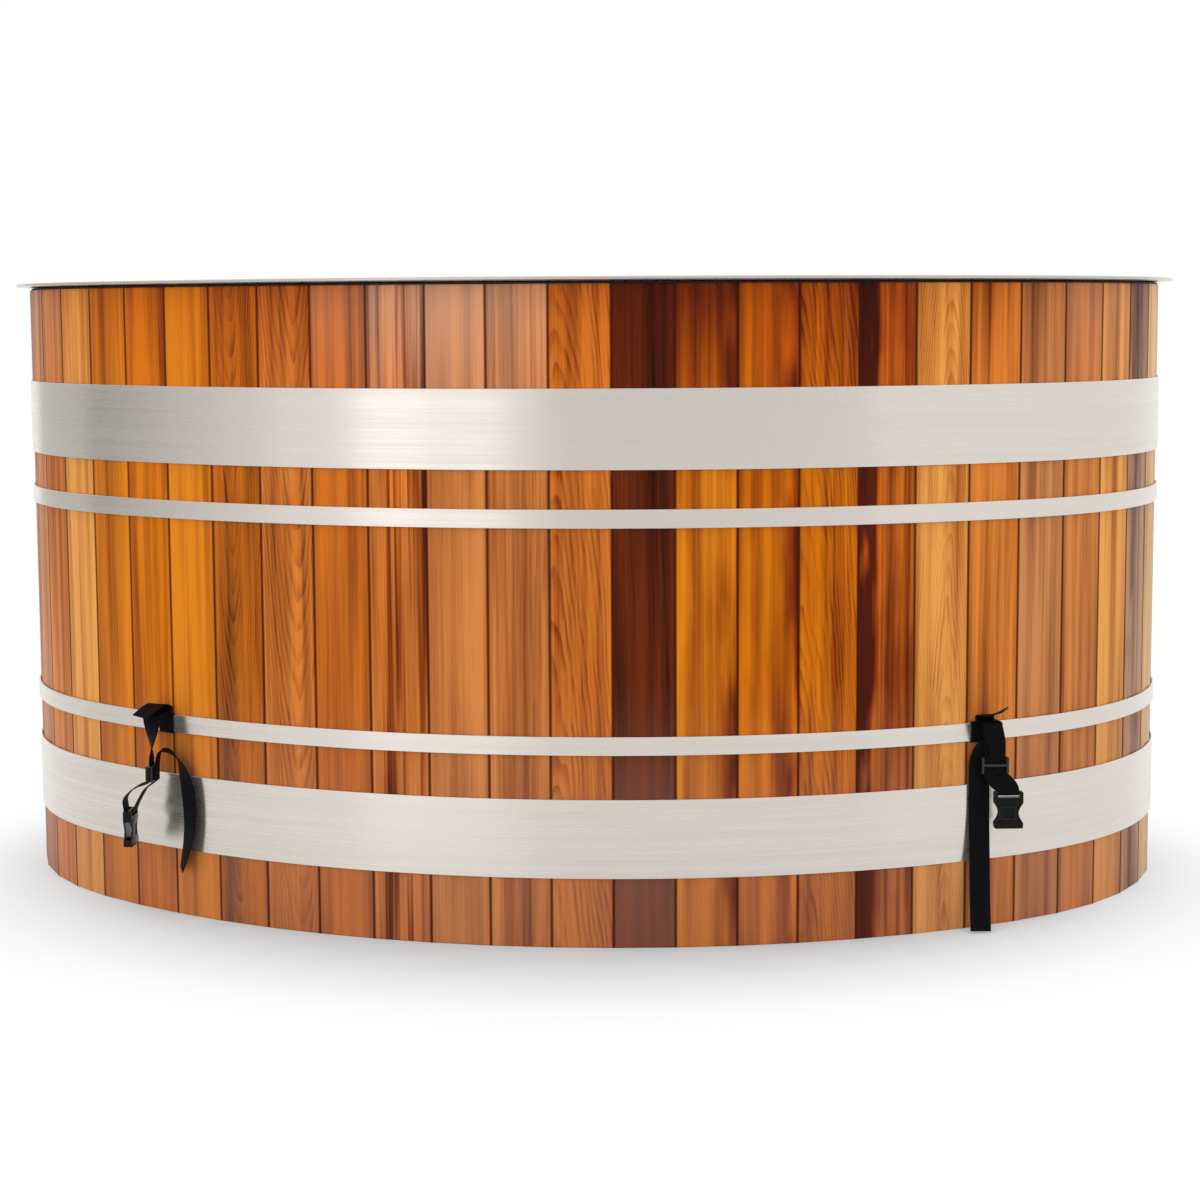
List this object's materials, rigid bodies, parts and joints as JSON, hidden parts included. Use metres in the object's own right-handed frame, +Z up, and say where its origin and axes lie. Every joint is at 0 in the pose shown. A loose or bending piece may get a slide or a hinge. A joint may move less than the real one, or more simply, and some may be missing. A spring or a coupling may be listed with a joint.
{
  "type": "cold plunge tub",
  "caption": "Oval cedar cold plunge tub with brushed steel bands, an insulated steel liner and rolled rim, hanging cover straps, and rear drain and circulation fittings.",
  "frame": {"origin": "on the floor under the middle of the oval", "axes": "+Z up, the front faces -Y, +X along the oval's long way to the right of the front"},
  "size_m": [1.5638, 1.2835, 0.785],
  "materials": {
    "cedar": "oiled",
    "foam": "foamed",
    "brushed_steel": "brushed",
    "rubber": "matt",
    "webbing": "woven",
    "black_plastic": "moulded",
    "grey_plastic": "moulded"
  },
  "bodies": {
    "tub": {"staves_front_left": "cedar", "staves_front": "cedar", "staves_front_right": "cedar", "staves_right_front": "cedar", "staves_right_rear": "cedar", "staves_rear_right": "cedar", "staves_rear": "cedar", "staves_rear_left": "cedar", "staves_left_rear": "cedar", "staves_left_front": "cedar", "wall_insulation": "foam", "floor_joists": "cedar", "floor_deck": "cedar", "floor_insulation": "foam", "liner_floor": "brushed_steel", "liner_wall": "brushed_steel", "rim_seal": "rubber", "rim_flange": "brushed_steel", "upper_wide_band": "brushed_steel", "upper_hoop": "brushed_steel", "lower_hoop": "brushed_steel", "lower_wide_band": "brushed_steel", "band_lugs": "brushed_steel", "band_bolts": "brushed_steel", "band_nuts": "brushed_steel", "suction_body": "grey_plastic", "suction_grille": "grey_plastic", "suction_gasket": "rubber", "suction_locknut": "grey_plastic", "suction_tail": "grey_plastic", "return_body": "grey_plastic", "return_ring": "grey_plastic", "return_gasket": "rubber", "return_locknut": "grey_plastic", "return_tail": "grey_plastic", "drain_body": "grey_plastic", "drain_gasket": "rubber", "drain_locknut": "grey_plastic", "drain_strainer": "brushed_steel", "drain_elbow": "grey_plastic", "drain_pipe": "grey_plastic", "drain_valve_body": "grey_plastic", "drain_tail": "grey_plastic", "left_strap_wrap": "webbing", "right_strap_wrap": "webbing"},
    "drain_valve": {"drain_valve_ball": "brushed_steel", "drain_valve_stem": "brushed_steel", "drain_lever": "black_plastic"},
    "return_eyeball": {"return_nozzle": "grey_plastic"},
    "left_strap": {"left_strap_strand": "webbing", "left_strap_tail": "webbing"},
    "left_adjuster": {"left_strap_adjuster": "black_plastic"},
    "left_buckle": {"left_strap_buckle": "black_plastic"},
    "right_strap": {"right_strap_strand": "webbing", "right_strap_tail": "webbing"},
    "right_adjuster": {"right_strap_adjuster": "black_plastic"},
    "right_buckle": {"right_strap_buckle": "black_plastic"}
  },
  "joints": [
    {"name": "drain_lever_turn", "type": "hinge", "parent": "tub", "child": "drain_valve", "pos_m": [0, 0.61903, 0.055], "axis": [0, 0, -1], "range_deg": [0, 90]},
    {"name": "return_nozzle_swivel", "type": "hinge", "parent": "tub", "child": "return_eyeball", "pos_m": [0, 0.49951, 0.4505], "axis": [0, 0, 1], "range_deg": [-15, 15]},
    {"name": "left_strap_swing", "type": "hinge", "parent": "tub", "child": "left_strap", "pos_m": [-0.46937, -0.45708, 0.25585], "axis": [-0.8729, 0.4879, 0], "range_deg": [0, 80]},
    {"name": "left_adjuster_slide", "type": "slide", "parent": "left_strap", "child": "left_adjuster", "axis": [0, 0, 1], "range_m": [0, 0.009]},
    {"name": "left_buckle_pivot", "type": "hinge", "parent": "left_strap", "child": "left_buckle", "pos_m": [-0.50767, -0.47768, 0.133], "axis": [-0.0837, 0.9965, 0], "range_deg": [0, 80]},
    {"name": "right_strap_swing", "type": "hinge", "parent": "tub", "child": "right_strap", "pos_m": [0.54215, -0.41173, 0.25585], "axis": [-0.8287, -0.5598, 0], "range_deg": [0, 80]},
    {"name": "right_adjuster_slide", "type": "slide", "parent": "right_strap", "child": "right_adjuster", "axis": [0, 0, 1], "range_m": [0, 0.009]},
    {"name": "right_buckle_pivot", "type": "hinge", "parent": "right_strap", "child": "right_buckle", "pos_m": [0.56851, -0.42113, 0.168], "axis": [-0.9876, -0.1571, 0], "range_deg": [0, 80]}
  ]
}
